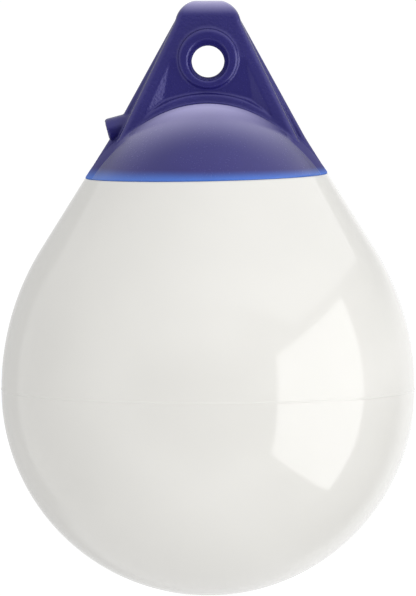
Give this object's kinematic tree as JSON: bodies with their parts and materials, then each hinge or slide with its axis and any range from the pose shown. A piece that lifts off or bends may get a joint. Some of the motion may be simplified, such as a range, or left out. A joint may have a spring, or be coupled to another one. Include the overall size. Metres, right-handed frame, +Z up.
{
  "type": "inflatable mooring buoy",
  "caption": "Round inflatable vinyl mooring buoy with a tapered rope head, a flared rope eye and a screw-in air valve.",
  "frame": {"origin": "centre of the rope eye's bore", "axes": "+Y along the rope eye's bore, +Z up along the buoy's length from the float towards the head, valve on the -X side"},
  "size_m": [0.203, 0.203, 0.2913],
  "materials": {
    "float_vinyl": "glossy soft white vinyl with a faint moulded orange peel",
    "head_vinyl": "satin-gloss navy blue vinyl, thinner and brighter blue at the seam",
    "insert_nylon": "plain natural nylon",
    "screw_nylon": "satin white nylon",
    "seal_rubber": "plain black rubber"
  },
  "bodies": {
    "buoy": {"float_body": "float_vinyl", "rope_head": "head_vinyl", "valve_insert": "insert_nylon"},
    "seal": {"valve_seal": "seal_rubber"},
    "screw": {"valve_screw": "screw_nylon"}
  },
  "joints": [
    {"name": "screw_travel", "type": "slide", "parent": "buoy", "child": "seal", "axis": [-0.9659, 0, -0.2588], "range_m": [0, 0.00625]},
    {"name": "screw_turn", "type": "hinge", "parent": "seal", "child": "screw", "pos_m": [-0.0494, 0, -0.0339], "axis": [-0.9659, 0, -0.2588], "range_deg": [0, 1800]}
  ],
  "couplings": [
    {"joint": "screw_turn", "follows": "screw_travel", "rad_per_m": 5026.5}
  ]
}
